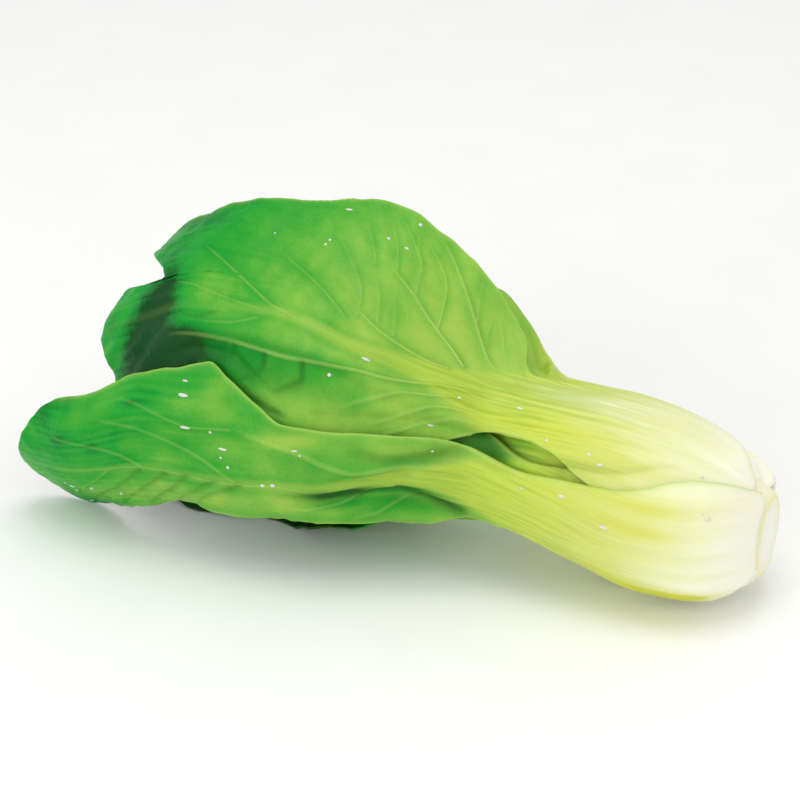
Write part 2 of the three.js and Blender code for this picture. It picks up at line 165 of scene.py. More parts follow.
# Each leaf. Upper and lower are the widths of its two sides by station, and the fine ones are for the
# finished leaf alone. A rib is the midrib's (station, middle, half width). A vein is (height, half width,
# paleness, points), and one with a paleness below zero is a groove with painted shade along it. Dents and
# the other spot lists are spots on the face: (station, across, reach along, reach across, amount). Dents are
# in mm. One list deepens or lightens the green, partly the leaf's own tone and partly painted shade; one is
# painted shade in folds; warm is yellow; and one is cream on the stalk with a painted highlight strip. A
# fold
# runs along the leaf: (start, end, across, width, height). Cuts are mm off an end, by v.
leaves = {
    "leaf_front": {
        "start": 2, "tip": 219, "tipRound": 22, "fleshy": 1, "slot": "outer_leaf", "grid": (300, 151),
        "angle": [(0, 98), (20, 103), (40, 104), (60, 101), (80, 96), (95, 94), (119, 98), (142, 103),
            (171, 109), (195, 121), (210, 127), (223, 131)],
        "radius": head["bulb"] + [(95, 30), (107, 36), (119, 40.5), (142, 44.5), (171, 44.5), (198, 44),
            (210, 42), (223, 38)],
        "upper": [(2, 21.8), (5, 22.8), (9, 24.7), (12, 25.8), (17, 26.5), (22, 25.7), (30, 22.5), (41, 19),
            (52, 15.8), (70, 11.6), (83, 13), (97, 14.5), (112, 15), (125, 18), (136, 23.5), (147, 31),
            (154, 36), (163, 34), (176, 31), (188, 30), (200, 29), (223, 22)],
        "lower": [(2, 11), (5, 14), (17, 24.5), (30, 23), (41, 20.5), (52, 17), (62, 12.5), (70, 10.5),
            (80, 10.8), (90, 15.5), (98, 19), (108, 17.5), (118, 15.5), (130, 16.5), (143, 15.5),
            (162, 14.5), (174, 17), (184, 17.5), (192, 21), (200, 24), (210, 25), (223, 20)],
        "bendUpper": [(0, 1), (80, 1), (110, 0.95), (150, 1.1), (180, 1.3), (205, 1.5), (223, 1.5)],
        "bendLower": [(0, 1), (110, 1.1), (150, 1.05), (175, 0.8), (198, 0.5), (223, 0.5)],
        "wave": (1.3, 31, 0.6),
        "folds": [(84, 124, -8, 6, -3), (140, 215, 22, 8, 2)],
        "rib": [(58, 0, 18), (73, 2, 9), (84, 2.8, 4.3), (92, 2.4, 2.5), (101, 1.2, 1.8), (109, -0.6, 1.5),
            (120, -2.7, 1.6), (134, -0.4, 1.3), (150, -0.7, 1.1), (172, 2, 0.9), (219, 4, 0.6)],
        "veins": [
            (1.5, 1.6, 0.5, [(76, 8), (94, 5.6), (101, 4.8), (109, 3.4), (116, 5.7), (126, 11), (134, 14.2),
                (144, 17)]),
            # veins with paleness below zero are grooves with painted shade along them
            (-0.9, 2.2, -0.95, [(83.6, -8.5), (90.1, -6), (97.2, -4.1), (103.2, -2.8), (110.8, -3.3),
                (116.8, -4.2), (122, -4.8), (129, -6)]),
            (-1.1, 2.4, -0.15, [(97, 3.2), (104, 1.6), (112, 1.2), (121, 3), (130, 6.5)]),
            (-1.8, 2.2, -0.4, [(83, 12), (86, 10.3), (92, 8.6), (98, 7.2), (104, 7.8), (112, 11.5)]),
            (0.6, 1, 0.3, [(144, 0.7), (154, 7.2), (163, 11.1), (171, 14.9), (181, 19.3), (188, 23)]),
            (0.4, 0.8, 0.3, [(141, 16.6), (155, 17.4), (166, 21), (181, 26.4)]),
            (0.5, 0.9, 0.3, [(173, 2.6), (182, 8.6), (192, 13.6), (204, 18)]),
            (-0.6, 0.9, -0.32, [(150, -0.7), (158, -6.4), (163, -11.1), (168, -19)]),
            (-0.6, 0.9, -0.32, [(142, -1.2), (151, -5.9), (156, -9.3), (160, -16)]),
            (-0.6, 0.9, -0.32, [(159, 0), (166, -7.9), (172, -13), (178, -22)]),
            (-0.6, 0.9, -0.32, [(166, 0), (176, -8.2), (184, -15), (190, -24)]),
            (-0.6, 0.9, -0.32, [(174, 1), (184, -6), (194, -13), (201, -22)]),
            (0.5, 0.8, 0.2, [(183, 3.5), (194, -4), (204, -11), (209, -17)]),
            (0.3, 0.7, 0.5, [(110, -0.8), (120, -2.7), (134, -0.4), (150, -0.7), (172, 2), (206, 3.6)]),
            (0.9, 1.2, 0.4, [(101, -0.8), (108, -3.5), (114, -7.4), (118, -8.4), (128, -11)]),
            (0.9, 1.2, 0.4, [(75, -5.2), (83, -4.8), (94, -4.6), (101, -9.1), (107, -13.4), (114, -15)]),
        ],
        "dents": [(99, -6, 12, 5, -1.5), (158, 12, 18, 6, -1), (182, -4, 20, 4, 0.8)],
        # in the list below, the second to fourth spots are painted shade in the dip under the midrib, and
        # the rest set the leaf's own green
        "toneAndPaintedShade": [(104, 0, 24, 24, 0.22), (108, -3.8, 15, 1.7, 0.5), (116, -8, 12, 1.8, 0.4),
            (96, -10, 14, 3, 0.3), (152, 24, 12, 8, -0.22), (127, 14, 9, 2.8, -0.45),
            (176, -10, 36, 10, -0.5), (186, 26, 12, 7, -0.26), (169, 12, 12, 8, -0.14),
            (125.5, -8, 9, 4, -0.4), (98, 11, 8, 3, -0.15)],
        # painted shade in the dips beside the midrib
        "paintedShadeSpots": [(111, -3.6, 9, 1.8, 0.85), (119, -4.8, 7, 2.2, 0.8), (97, -8, 8, 2.4, 0.3),
            (99, 7.6, 9, 1.8, 0.25)],
        "warm": [(38, 18, 24, 2.4, 0.5), (20, 17, 14, 4, 0.26), (36, 11, 22, 2, 0.46),
            (42, 3, 20, 1.5, 0.2), (30, 9, 15, 9, 0.36), (41, -9.5, 7, 2.6, 0.8), (34, -13.2, 7, 3.2, 1.2),
            (26, -15.5, 8, 4, 1.6), (17, -15, 7, 3.4, 1.3)],
        "ribbon": [(0, 1), (100, 1), (118, 0.6), (136, 0.3), (160, 0.15), (219, 0.05)],
        "startCut": [(-1, 6), (-0.8, 2.4), (-0.5, 0), (0.8, 0), (1, 1.5)],
        "fineStart": 0.6, "streaks": 0.09, "seed": 11,
    },
    "leaf_lower_back": {
        "start": 2, "tip": 214, "tipRound": 26, "fleshy": 1, "slot": "outer_leaf",
        "angle": [(0, 250), (40, 249), (80, 251), (110, 253), (150, 250), (214, 240)],
        "radius": head["bulb"] + [(95, 28), (107, 34), (120, 39), (145, 43.5), (175, 42), (198, 38),
            (214, 31)],
        "upper": [(2, 11), (5, 14), (17, 24), (30, 22), (50, 18), (70, 13), (80, 14), (88, 20), (97, 30),
            (110, 38), (130, 44), (152, 43), (172, 39), (188, 36), (214, 28)],
        "lower": [(2, 7.5), (5, 10.5), (17, 16), (30, 20), (50, 18), (70, 13), (80, 13), (90, 14.5),
            (100, 20), (112, 29), (130, 40), (152, 44), (172, 41), (188, 37), (214, 28)],
        "bendLower": [(0, 1), (80, 1), (110, 0.95), (214, 0.95)],
        "wave": (2.2, 34, 1.9),
        "folds": [(100, 200, 14, 6, 1.6), (95, 170, -13, 7, -2.2)],
        "green": 0.1, "fineStart": 0.7, "seed": 23,
    },
    "leaf_upper_front": {
        "start": 4, "tip": 199, "tipRound": 12, "fleshy": 1, "slot": "outer_leaf", "grid": (290, 161),
        "angle": [(0, 22), (30, 26), (60, 29), (85, 33), (110, 37), (140, 36), (165, 37), (185, 44),
            (199, 52)],
        "radius": [(2, 14), (4, 16.4), (6, 17.9), (9, 19.4), (14, 21.2), (22, 23.8), (34, 26.6), (42, 27.2),
            (49, 26.9), (64, 25.4), (79, 24.6), (95, 29.5), (114, 38.5), (132, 43.3), (150, 43.5),
            (165, 41.5), (178, 36), (190, 27), (199, 20)],
        "upper": [(4, 3.5), (6, 6.5), (9.7, 12.5), (13, 18), (20, 22), (32, 22.5), (50, 19), (62, 14),
            (70, 12.5), (72.5, 14.5), (76, 23.5), (80, 28.5), (86, 34.2), (95, 40.5), (106, 46), (118, 49),
            (133, 45), (146, 41), (160, 38), (172, 36.5), (182, 34.5), (187, 31), (191, 14), (199, 10)],
        "lower": [(4, 12), (7, 15), (17, 24), (32, 23), (50, 16.5), (58, 12.5), (70, 10.3), (79, 10.5),
            (88, 16), (98, 28), (115, 38), (135, 41), (160, 38), (175, 32), (188, 24), (199, 16)],
        "endCut": [(-1, 22), (-0.76, 12), (-0.29, 3.4), (-0.1, 1.5), (0.1, 1.5), (0.18, 3.5), (0.262, 6.5),
            (0.278, 22), (0.417, 19), (0.494, 15), (0.563, 11), (0.66, 6.5), (0.8, 7.5), (0.9, 8.5),
            (1, 12)],
        "cutReach": 62,
        "bendUpper": [(0, 1), (58, 1), (70, 0.5), (80, 0.1), (92, 0.05), (106, 0.15), (125, 0.3),
            (150, 0.33), (175, 0.5), (199, 0.8)],
        "bendLower": [(0, 1), (110, 1), (199, 1.1)],
        "wave": (0.9, 37, 0),
        "folds": [(84, 176, -10, 6, 2.4), (90, 176, -22, 8, -3), (95, 170, 20, 9, -1.4)],
        "rib": [(58, 0, 18), (73, 0, 9), (84, 0.5, 5.4), (92, 1, 3.2), (99, 1.6, 2.2), (106, 1.2, 1.6),
            (114, 0, 1.4), (120, -0.3, 1.2), (137, 1.5, 1), (155, -0.6, 0.8), (199, 0, 0.5)],
        "veins": [
            (0.35, 0.7, 0.5, [(77, 11), (79, 15), (81, 19.5), (84, 27)]),
            (0.6, 0.9, 0.7, [(80, 10), (83, 12.5), (86, 16.5), (90, 23), (95, 31), (101, 39.5), (105, 44)]),
            (0.3, 0.6, 0.4, [(89, 23), (90.5, 29.6), (91, 36)]),
            (0.3, 0.5, 0.3, [(85, 17), (85.7, 21.1), (85, 27)]),
            (0.65, 0.9, 0.8, [(88.6, 7.6), (93.4, 11.8), (98, 15.3), (102, 18.8), (107, 23.3), (114, 28)]),
            (0.4, 0.7, 0.5, [(97.7, 15.7), (98.2, 22.2), (99.2, 28.9), (102, 34.4), (107, 40)]),
            (0.7, 0.9, 0.8, [(92, 5.2), (96, 4.9), (100, 5.3), (105, 6.2), (111, 7.6), (118, 11)]),
            (0.35, 0.6, 0.3, [(106, 23), (106.6, 30.8), (108.8, 36), (110.5, 43)]),
            (0.3, 0.6, 0.3, [(107, 33), (112, 40), (116.4, 45)]),
            (0.35, 0.6, 0.3, [(112, 26), (114, 34.2), (116.4, 38.8), (118.4, 43)]),
            (0.3, 0.6, 0.3, [(118, 27), (121, 33.3), (124, 38)]),
            (0.35, 0.6, 0.3, [(117.4, 9), (118.4, 15.1), (120.3, 19.5), (125, 25.4), (131, 32)]),
            (0.3, 0.6, 0.3, [(112, 10), (114, 17.5), (117, 23)]),
            (0.3, 0.6, 0.3, [(107, 8), (109.2, 16.1), (111, 21)]),
            (0.3, 0.6, 0.4, [(120, 7), (129, 12.7), (135.2, 16.3), (144, 21)]),
            (0.4, 0.7, 0.4, [(132, 1), (140, 3), (147.6, 7.1), (157, 13), (168, 20)]),
            (0.3, 0.6, 0.3, [(143, 1), (152, 2), (163, 5), (173, 8)]),
            (0.9, 1, 0.8, [(76, 2.4), (87, 0.3), (97, -2.3), (104.4, -4.9), (112, -6.8), (120, -9.1),
                (133, -11.3), (148, -10.7), (159, -10.4), (169, -10)]),
            (0.4, 0.8, 0.3, [(143, -2), (150, -5.5), (158, -6.5)]),
            # veins with paleness below zero are grooves with painted shade along them; the last one lies
            # where the front leaf's edge covers this one
            (-0.5, 0.8, -0.3, [(156, -2.9), (161, -4.6), (171, -3.4)]),
            (-0.7, 0.8, -0.6, [(158.2, -11.2), (158.7, -13.1), (162, -15.5), (167, -18)]),
            (-0.7, 0.8, -0.6, [(146.7, -11.7), (148.1, -13.7), (152.4, -16.4), (158, -20)]),
            (-0.7, 0.8, -0.6, [(137.1, -12.3), (137.6, -15), (140.9, -17.2), (147, -20)]),
            (-0.7, 0.8, -0.6, [(126, -11.4), (126, -14.4), (129, -17), (135, -20)]),
            (0.7, 0.9, 0.6, [(75, -1.5), (87, -2.2), (93, -4.2), (100, -6.9), (105, -10.5),
                (116.4, -17.6)]),
            (0.7, 0.9, 0.6, [(74, -4.7), (86, -5.1), (92, -7), (95, -9.4), (99, -12.6), (109, -18.6)]),
            (0.6, 0.9, 0.5, [(74, -7.1), (85, -7.5), (91.5, -11), (98.7, -15.9), (107, -21)]),
            (-1.3, 1.3, -1, [(155, -16.2), (153.5, -17.2), (150, -19.1), (146.7, -21), (142.3, -22.6),
                (138, -24.1), (134.5, -25.1), (128, -25.6)]),
        ],
        "dents": [(178, -4, 9, 12, -2.2), (192, 0, 8, 12, 1.2), (119, -17, 13, 5, -0.8),
            (140, -20, 13, 5, -0.8)],
        # in the list below, the first two spots are painted shade on the tip where it bends away from the
        # light, the fourth to sixth are painted shade below the fold beside the front leaf's edge, and the
        # rest set the leaf's own green
        "toneAndPaintedShade": [(177, -2, 8, 14, 0.6), (170, -15, 11, 7, 0.52), (189, -5, 6, 9, -0.05),
            (150, -16, 16, 4, 0.2), (157, -13, 10, 6, 0.2), (124, -13, 14, 5, 0.26),
            (126, -22, 9, 5, -0.12), (161, 5, 12, 8, -0.2), (170, 25, 26, 14, 0.06)],
        # painted shade in the folds and creases below the midrib
        "paintedShadeSpots": [(156, -13.5, 10, 5, 0.35), (142, -15.5, 14, 4, 0.25), (130, -9.5, 30, 1.6, 0.25)],
        # the first spot is a painted highlight strip along the top of the stalk; the second makes the stalk
        # creamier
        "creamAndPaintedHighlight": [(64, 7.5, 20, 5, 1.6), (40, 12, 16, 6, 0.6)],
        "warm": [(38, -9, 22, 3, 0.4), (57, -4, 20, 2.5, 0.45), (30, 8, 20, 3, 0.2)],
        "seed": 37,
    },
    "leaf_bottom": {
        "start": 4, "tip": 192, "tipRound": 26, "fleshy": 0.95, "slot": "outer_leaf",
        "angle": [(0, 178), (40, 177), (90, 176), (130, 178), (192, 184)],
        "radius": [(2, 14), (5, 18.4), (9, 22.2), (14, 25.3), (22, 28.2), (34, 29.4), (49, 27.2),
            (64, 23.2), (79, 21.8), (95, 24), (110, 29.5), (122, 35.5), (135, 41.5), (145, 43), (160, 44),
            (192, 38)],
        "upper": [(4, 10), (9, 16), (17, 22), (32, 22), (50, 15), (62, 8.5), (72, 6.5), (84, 7), (92, 10),
            (98, 14), (110, 16), (130, 17), (138, 11), (150, 9.5), (160, 12), (175, 15), (192, 14)],
        "lower": [(4, 10), (9, 16), (17, 22), (32, 22), (50, 17.5), (70, 12.5), (78, 15), (84, 21),
            (94, 29), (110, 35), (135, 38), (158, 36), (174, 33), (192, 26)],
        "bendUpper": [(0, 1), (80, 0.8), (110, 0.6), (192, 0.6)],
        "bendLower": [(0, 1), (80, 0.8), (110, 0.6), (192, 0.6)],
        # its deeper green is partly painted shade, for the edge that shows in shade under the front leaf
        "wave": (1.8, 30, 2.4), "green": 0.5, "paleEdge": 0.1, "fineStart": 3, "seed": 41,
    },
    "leaf_upper_back": {
        "start": 2, "tip": 190, "tipRound": 28, "fleshy": 0.92, "slot": "outer_leaf",
        "angle": [(0, 322), (40, 321), (80, 322), (110, 324), (150, 322), (190, 314)],
        "radius": [(2, 15.4), (4, 17.3), (7.5, 18.8), (14, 20.8), (22, 23.2), (34, 25.6), (49, 25.6),
            (64, 24.4), (79, 24), (88, 28), (98, 35), (112, 41), (130, 43), (155, 41.5), (175, 37),
            (190, 30)],
        "upper": [(2, 6.5), (6, 13), (17, 19), (32, 20), (50, 17), (64, 13.5), (69, 18), (74, 26), (80, 33),
            (88, 39), (100, 43), (120, 44), (140, 41), (160, 36), (190, 26)],
        "lower": [(2, 8.5), (6, 12), (17, 20), (32, 21), (50, 18), (66, 13.5), (72, 17), (78, 25), (88, 33),
            (100, 39), (120, 42), (140, 40), (160, 36), (190, 26)],
        "bendUpper": [(0, 1), (60, 0.9), (85, 0.5), (110, 0.4), (190, 0.8)],
        "bendLower": [(0, 1), (80, 1), (110, 0.9), (190, 0.9)],
        "wave": (2, 33, 0.9),
        "folds": [(66, 110, -8, 11, 19), (100, 165, -14, 6, 1.8), (90, 160, 14, 7, -1.8)],
        "fineFolds": [(64, 104, -8, 11, 16), (100, 165, -14, 6, 1.8), (90, 160, 14, 7, -1.8)],
        "rib": [(38, 0, 13), (56, 0, 5), (72, 0, 3.2), (84, 0, 2.6), (100, 0, 2), (190, 0, 0.8)],
        "bladeFrom": 62, "green": 0.2, "seed": 53,
    },
}


upperFront = leaves["leaf_upper_front"]
upperFront["fineUpper"] = swapKnots(upperFront["upper"], 173, 200, [
    (178, 36.5), (184, 39.5), (187, 42), (190, 44.5), (192, 49), (194, 54), (199, 57)])
upperFront["fineLower"] = swapKnots(upperFront["lower"], 40, 90, [
    (50, 15.6), (58, 10.6), (66, 8), (72, 7.6), (79, 8.6), (88, 14.5)])


def addInnerLeaf(name, rank, direction, tip, bladeRadius, bladeHalf, fleshy, phase):
    start = 20 if rank < 9 else 29
    size = tip / 184
    stalkHalf = 18 - 1.2 * (rank - 6)
    neckRadius = 20
    spread = bladeRadius - neckRadius

    def blade(share):
        return head["innerNeck"] + share * size

    halfWidth = [(start, 0.85 * stalkHalf), (36, stalkHalf), (50, 0.88 * stalkHalf),
                 (head["innerNeck"], 0.7 * stalkHalf), (blade(10), 0.85 * stalkHalf),
                 (blade(20), 0.62 * bladeHalf), (blade(32), 0.85 * bladeHalf), (blade(50), bladeHalf),
                 (blade(72), 0.96 * bladeHalf), (blade(95), 0.82 * bladeHalf), (tip, 0.6 * bladeHalf)]
    leaves[name] = {
        "start": start, "tip": tip, "tipRound": 28 * size, "fleshy": fleshy,
        "slot": "inner_leaf" if rank < 11 else "heart_leaf",
        "grid": (120, 61) if rank < 11 else (90, 45),
        "angle": [(0, direction + 2), (60, direction), (110, direction - 3), (tip, direction + 3)],
        "radius": [(start, 22), (40, 23), (60, 21), (80, neckRadius),
                   (80 + 15 * size, neckRadius + 0.3 * spread), (80 + 30 * size, neckRadius + 0.7 * spread),
                   (80 + 48 * size, bladeRadius), (80 + 75 * size, bladeRadius), (tip, 0.78 * bladeRadius)],
        "upper": halfWidth, "lower": halfWidth,
        "wave": (2, 28 * size, phase),
        "green": 0.05 - 0.1 * (rank - 6) / 6,
        "seed": 60 + 7 * rank,
    }


addInnerLeaf("leaf_inner_front", 6, 104, 184, 33, 35, 0.8, 2)
addInnerLeaf("leaf_inner_lower_back", 7, 249, 178, 32, 33, 0.72, 0.5)
addInnerLeaf("leaf_inner_upper_front", 8, 34, 166, 30, 30, 0.64, 1.5)
addInnerLeaf("leaf_inner_bottom", 9, 178, 156, 27, 27, 0.56, 3)
addInnerLeaf("leaf_inner_upper_back", 10, 322, 146, 25, 25, 0.5, 4)
addInnerLeaf("leaf_heart_front", 11, 100, 128, 17, 18, 0.42, 1)
addInnerLeaf("leaf_heart_back", 12, 242, 118, 13, 13, 0.38, 2)
# its finished stalk is wider, to close the gap between the two front leaves
innerFront = leaves["leaf_inner_front"]
innerFront["fineUpper"] = [(h, 1.13 * half) for h, half in innerFront["upper"]]
evenBend = [(0, 1), (220, 1)]
plainRib = [(58, 0, 22), (72, 0, 9), (84, 0, 6), (95, 0, 3.6), (110, 0, 2), (140, 0, 1.3), (219, 0, 0.6)]


def freeForm(leaf, h, v, fine):
    # where a leaf would lie with nothing over it, as angle and radius about the head's axis
    middle = np.radians(curveAt(leaf["angle"], h))
    radius = curveAt(leaf["radius"], h)
    inBlade = ramp(h, head["neckStart"], head["neckLength"])
    upper, lower, folds = leaf["upper"], leaf["lower"], leaf.get("folds", [])
    if fine:
        upper, lower = leaf.get("fineUpper", upper), leaf.get("fineLower", lower)
        folds = leaf.get("fineFolds", folds)
    side = np.where(v > 0, curveAt(upper, h), curveAt(lower, h))
    bendUpper, bendLower = leaf.get("bendUpper", evenBend), leaf.get("bendLower", evenBend)
    bend = np.where(v > 0, curveAt(bendUpper, h), curveAt(bendLower, h))
    bend = bend / np.maximum(radius, 14)
    if fine:
        halfWidth = side * (1 + 0.004 * inBlade * softNoise(h + 400 * (v > 0), 0 * h, 9, leaf["seed"]))
    else:
        toTip = np.clip((h - leaf["tip"] + leaf["tipRound"]) / leaf["tipRound"], 0, 1)
        halfWidth = np.maximum(side * np.sqrt(1 - toTip * toTip), 1.6)
    across = v * halfWidth
    waveHeight, waveLength, wavePhase = leaf["wave"]
    phase = wavePhase + np.where(v > 0, 0, 2)
    edge = np.abs(v) ** 2.5
    out = (np.cos(bend * across) - 1) / bend
    out = out + waveHeight * inBlade * edge * np.sin(2 * math.pi * h / waveLength + phase)
    for start, end, foldMiddle, width, height in folds:
        fade = smooth(np.minimum(h - start, end - h) / 18)
        out = out + height * fade * np.exp(-(((across - foldMiddle) / width) ** 2))
    if fine:
        frill = softNoise(h + 300 * (v > 0), 0 * h, 12, leaf["seed"] + 1)
        out = out + 0.4 * inBlade * np.abs(v) ** 6 * frill
        out = out + spotSum(leaf, "dents", h, across)
    sideways = np.sin(bend * across) / bend
    y = -np.sin(middle) * (radius + out) + np.cos(middle) * sideways
    z = np.cos(middle) * (radius + out) + np.sin(middle) * sideways
    angle = np.arctan2(-y, z)
    angle = angle + np.round((middle - angle) / (2 * math.pi)) * 2 * math.pi
    return angle, np.hypot(y, z), across, halfWidth


stations = np.arange(0, 220.01, 1.0)
angles = np.arange(fit["angleSteps"]) * 2 * math.pi / fit["angleSteps"]
cover = {kind: np.full((len(stations), len(angles)), 1000.0) for kind in ("outer", "inner")}


def coverAt(kind, h, angle):
    # how far out the leaves that lie outside allow this one to come
    field = cover[kind]
    row = np.clip(h, 0, len(stations) - 1.001)
    column = np.mod(angle, 2 * math.pi) / (2 * math.pi) * fit["angleSteps"]
    r0, c0 = row.astype(int), column.astype(int) % fit["angleSteps"]
    c1 = (c0 + 1) % fit["angleSteps"]
    rt, ct = row - r0, column - np.floor(column)
    near = field[r0, c0] * (1 - ct) + field[r0, c1] * ct
    far = field[r0 + 1, c0] * (1 - ct) + field[r0 + 1, c1] * ct
    return near * (1 - rt) + far * rt


def held(kind, h, angle, radius):
    limited = smoothMin(radius, coverAt(kind, h, angle), fit["heldBlend"])
    down = -np.cos(angle)
    floor = np.where(down > 0.05, curveAt(head["axisHeight"], h) / np.maximum(down, 0.05), 1000)
    return np.minimum(limited, floor)


def leafThickness(leaf, h, across, halfWidth, edgeKnots):
    thick = lineAt(flesh["stalk"], h) * leaf["fleshy"]
    edge = lineAt(edgeKnots, h)
    q = np.abs(across) / (lineAt(flesh["ribShare"], h) * np.maximum(halfWidth, 8))
    stalk = np.maximum(1 - q * q, 0) ** 1.2
    rib = np.exp(-q * q * 1.2)
    share = ramp(h, 62, 20)
    return edge + np.maximum(thick - edge, 0) * (stalk * (1 - share) + rib * share)


def stemRoom(h, radius):
    stem = np.where(h < head["stemEnd"], curveAt(head["stemRadius"], h), 0)
    return np.maximum(radius - stem - head["stemGap"], head["thinnest"])


def addCover(leaf, kind):
    h = np.clip(stations, leaf["start"], leaf["tip"])[:, None]
    v = np.linspace(-1, 1, fit["columns"])[None, :]
    h, v = np.broadcast_arrays(h, v)
    angle, radius, across, halfWidth = freeForm(leaf, h, v, False)
    radius = held(kind, h, angle, radius)
    y, z = -np.sin(angle) * radius, np.cos(angle) * radius
    dy, dz = np.gradient(y, axis=1), np.gradient(z, axis=1)
    length = np.hypot(dy, dz)
    thick = np.minimum(leafThickness(leaf, h, across, halfWidth, flesh["edge"]), stemRoom(h, radius))
    iy, iz = y + dz / length * thick, z - dy / length * thick
    innerAngle = np.arctan2(-iy, iz)
    innerAngle += np.round((angle - innerAngle) / (2 * math.pi)) * 2 * math.pi
    innerRadius = np.hypot(iy, iz)
    ends = np.stack([angle[:, 0], angle[:, -1]], 1)
    reach = fit["edgeReach"]
    for i in range(len(stations)):
        near = ends[max(i - reach, 0):i + reach + 1]
        low, high = near.min(), near.max()
        turned = angles + np.round(((low + high) / 2 - angles) / (2 * math.pi)) * 2 * math.pi
        order = np.argsort(innerAngle[i])
        inner = np.interp(turned, innerAngle[i][order], innerRadius[i][order])
        past = np.maximum(np.maximum(low - turned, turned - high), 0) * inner
        away = np.hypot(past, max(0, stations[i] - leaf["tip"]))
        for name in ("outer", "inner"):
            swell = fit[name]["slope"] * np.maximum(0, away - fit[name]["start"])
            cover[name][i] = smoothMin(cover[name][i], inner - fit[name]["gap"] + swell, fit["coverBlend"])


def place(h, angle, radius):
    x = head["baseX"] - h
    y = head["axisY"] - np.sin(angle) * radius
    z = curveAt(head["axisHeight"], h) + np.cos(angle) * radius
    return np.stack([x, y, z], -1)


relief = {
    "ribbon": [(0, 1), (100, 1), (120, 0.65), (140, 0.22), (160, 0.05), (219, 0)],  # paleness of a midrib
    "rib": [(70, 0), (95, 1.4), (112, 1.1), (140, 0.7), (219, 0.4)],
    "veinGain": 0.9,
    "halo": 1.1,  # mm of painted shade beside a vein
    "pillow": 0.25,
    "pillowReach": 3.5,
    "lumps": 0.34,
    "lumpKinds": [(9, 1, 2), (4.2, 0.5, 3), (2.3, 0.25, 9)],  # mm apart, share, and step of the seed
    "strands": 8,
    "ridge": 0.12,
    "margin": 0.6,
}


def sideVeins(leaf):
    # side veins leave the midrib in turn, arch towards the tip and fork once
    draw = np.random.default_rng(leaf["seed"])
    rib = leaf.get("rib", plainRib)
    lines = []
    for side in (1, -1):
        half = leaf["upper"] if side > 0 else leaf["lower"]
        station = head["neckStart"] + (4 if side > 0 else 9) * leaf["tip"] / 200
        while station < leaf["tip"] - 14:
            middle = float(lineAt([(k[0], k[1]) for k in rib], station))
            width = 0.9 * float(curveAt(half, min(station + 12, leaf["tip"])))
            lean = draw.uniform(0.5, 0.75)
            points = []
            for t in np.linspace(0, 1, 6):
                along = station + width * (lean * t + 0.35 * t * t)
                points.append((min(along, leaf["tip"] - 4 - 3 * t), middle + side * width * t ** 0.95))
            lines.append((0.5, 1.05, 0.34, points))
            h0, a0 = points[2]
            fork = [(h0, a0), (h0 + 0.28 * width, a0 + side * 0.1 * width),
                    (h0 + 0.5 * width, a0 + side * 0.28 * width)]
            lines.append((0.3, 0.95, 0.22, fork))
            station += draw.uniform(9, 13) * leaf["tip"] / 200
    return lines


def spotSum(leaf, key, h, across):
    total = 0 * h
    for station, middle, reachAlong, reachAcross, amount in leaf.get(key, []):
        away = ((h - station) / reachAlong) ** 2 + ((across - middle) / reachAcross) ** 2
        total = total + amount * np.exp(-away)
    return total


